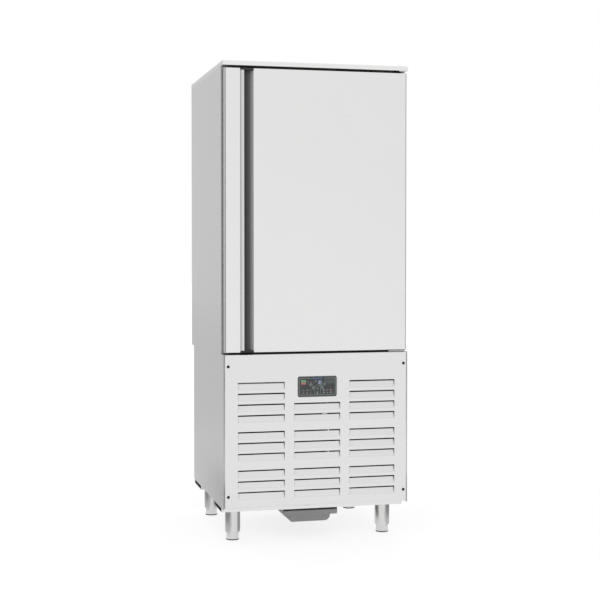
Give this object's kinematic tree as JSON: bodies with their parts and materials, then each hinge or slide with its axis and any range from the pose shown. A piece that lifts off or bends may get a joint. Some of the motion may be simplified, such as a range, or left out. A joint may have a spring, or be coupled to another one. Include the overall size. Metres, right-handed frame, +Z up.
{
  "type": "blast chiller",
  "caption": "Upright stainless steel blast chiller: insulated cell with a full-height hinged door and tray ledges over a louvred machine compartment with a control display, on round legs.",
  "frame": {"origin": "on the floor, under the middle of the cabinet's width and depth", "axes": "+Z up; the door and the display face -Y; +X is to the right when one faces the door"},
  "size_m": [0.774, 0.813, 1.95],
  "materials": {
    "stainless": "satin",
    "liner_steel": "satin",
    "plated_steel": "satin",
    "foam": "matte",
    "dark_plastic": "matte",
    "grey_plastic": "satin",
    "white_plastic": "satin",
    "seal_rubber": "matte",
    "black_rubber": "matte",
    "overlay": "gloss",
    "key_cap": "satin",
    "fins": "satin",
    "motor_paint": "satin",
    "black_paint": "gloss",
    "blade": "satin",
    "wire": "gloss",
    "copper": "satin",
    "screw_black": "satin"
  },
  "bodies": {
    "cabinet": {"top_cover": "stainless", "left_side_panel": "stainless", "right_side_panel": "stainless", "cell_back_panel": "stainless", "cell_deck": "plated_steel", "cell_insulation": "foam", "inner_liner": "liner_steel", "door_frame": "dark_plastic", "rack_uprights": "liner_steel", "tray_ledges": "liner_steel", "evaporator_coil": "fins", "fan_plate": "liner_steel", "evaporator_fan_guards": "wire", "evaporator_fan_motors": "motor_paint", "probe_holder": "dark_plastic", "drain_pipe": "plated_steel", "top_hinge_bracket": "plated_steel", "bottom_hinge_bracket": "plated_steel", "base_tray": "plated_steel", "cross_rails": "stainless", "front_panel": "stainless", "fixing_posts": "plated_steel", "panel_screws": "screw_black", "rear_grille": "plated_steel", "compressor": "black_paint", "compressor_grommets": "black_rubber", "condenser_coil": "fins", "fan_shroud": "plated_steel", "condenser_fan_motor": "motor_paint", "liquid_receiver": "black_paint", "filter_drier": "copper", "refrigerant_pipes": "copper", "electrical_box": "grey_plastic", "power_gland": "dark_plastic", "display_housing": "dark_plastic", "display_overlay": "overlay", "leg_tubes": "stainless", "tray_runners": "plated_steel"},
    "door": {"door_skin": "stainless", "door_edge_strip": "stainless", "door_handle": "stainless", "handle_end_caps": "dark_plastic", "door_inner_pan": "liner_steel", "door_foam": "foam", "door_gasket": "seal_rubber", "hinge_bushes": "white_plastic"},
    "upper_fan_rotor": {"upper_fan": "blade"},
    "middle_fan_rotor": {"middle_fan": "blade"},
    "lower_fan_rotor": {"lower_fan": "blade"},
    "condenser_fan_rotor": {"condenser_fan": "blade"},
    "drip_tray": {"drip_tray": "grey_plastic"},
    "front_left_foot": {"front_left_foot": "stainless"},
    "front_right_foot": {"front_right_foot": "stainless"},
    "rear_left_foot": {"rear_left_foot": "stainless"},
    "rear_right_foot": {"rear_right_foot": "stainless"},
    "left_outer_key": {"left_outer_key": "key_cap"},
    "left_inner_key": {"left_inner_key": "key_cap"},
    "centre_key": {"centre_key": "key_cap"},
    "right_inner_key": {"right_inner_key": "key_cap"},
    "right_outer_key": {"right_outer_key": "key_cap"}
  },
  "joints": [
    {"name": "door_hinge", "type": "hinge", "parent": "cabinet", "child": "door", "pos_m": [0.3657, -0.3875, 1.352], "axis": [0, 0, 1], "range_deg": [0, 110]},
    {"name": "upper_fan_spin", "type": "hinge", "parent": "cabinet", "child": "upper_fan_rotor", "pos_m": [0, 0.1225, 1.686], "axis": [0, 1, 0], "continuous": true},
    {"name": "middle_fan_spin", "type": "hinge", "parent": "cabinet", "child": "middle_fan_rotor", "pos_m": [0, 0.1225, 1.346], "axis": [0, 1, 0], "continuous": true},
    {"name": "lower_fan_spin", "type": "hinge", "parent": "cabinet", "child": "lower_fan_rotor", "pos_m": [0, 0.1225, 1.006], "axis": [0, 1, 0], "continuous": true},
    {"name": "condenser_fan_spin", "type": "hinge", "parent": "cabinet", "child": "condenser_fan_rotor", "pos_m": [-0.16, -0.2305, 0.41], "axis": [0, 1, 0], "continuous": true},
    {"name": "front_left_foot_height", "type": "slide", "parent": "cabinet", "child": "front_left_foot", "axis": [0, 0, -1], "range_m": [0, 0.04]},
    {"name": "front_right_foot_height", "type": "slide", "parent": "cabinet", "child": "front_right_foot", "axis": [0, 0, -1], "range_m": [0, 0.04]},
    {"name": "rear_left_foot_height", "type": "slide", "parent": "cabinet", "child": "rear_left_foot", "axis": [0, 0, -1], "range_m": [0, 0.04]},
    {"name": "rear_right_foot_height", "type": "slide", "parent": "cabinet", "child": "rear_right_foot", "axis": [0, 0, -1], "range_m": [0, 0.04]},
    {"name": "drip_tray_slide", "type": "slide", "parent": "cabinet", "child": "drip_tray", "axis": [0, -1, 0], "range_m": [0, 0.4]},
    {"name": "left_outer_key_press", "type": "slide", "parent": "cabinet", "child": "left_outer_key", "axis": [0, 1, 0], "range_m": [0, 0.0006], "stiffness_N_per_m": 3000, "springref_m": -0.0003},
    {"name": "left_inner_key_press", "type": "slide", "parent": "cabinet", "child": "left_inner_key", "axis": [0, 1, 0], "range_m": [0, 0.0006], "stiffness_N_per_m": 3000, "springref_m": -0.0003},
    {"name": "centre_key_press", "type": "slide", "parent": "cabinet", "child": "centre_key", "axis": [0, 1, 0], "range_m": [0, 0.0006], "stiffness_N_per_m": 3000, "springref_m": -0.0003},
    {"name": "right_inner_key_press", "type": "slide", "parent": "cabinet", "child": "right_inner_key", "axis": [0, 1, 0], "range_m": [0, 0.0006], "stiffness_N_per_m": 3000, "springref_m": -0.0003},
    {"name": "right_outer_key_press", "type": "slide", "parent": "cabinet", "child": "right_outer_key", "axis": [0, 1, 0], "range_m": [0, 0.0006], "stiffness_N_per_m": 3000, "springref_m": -0.0003}
  ]
}
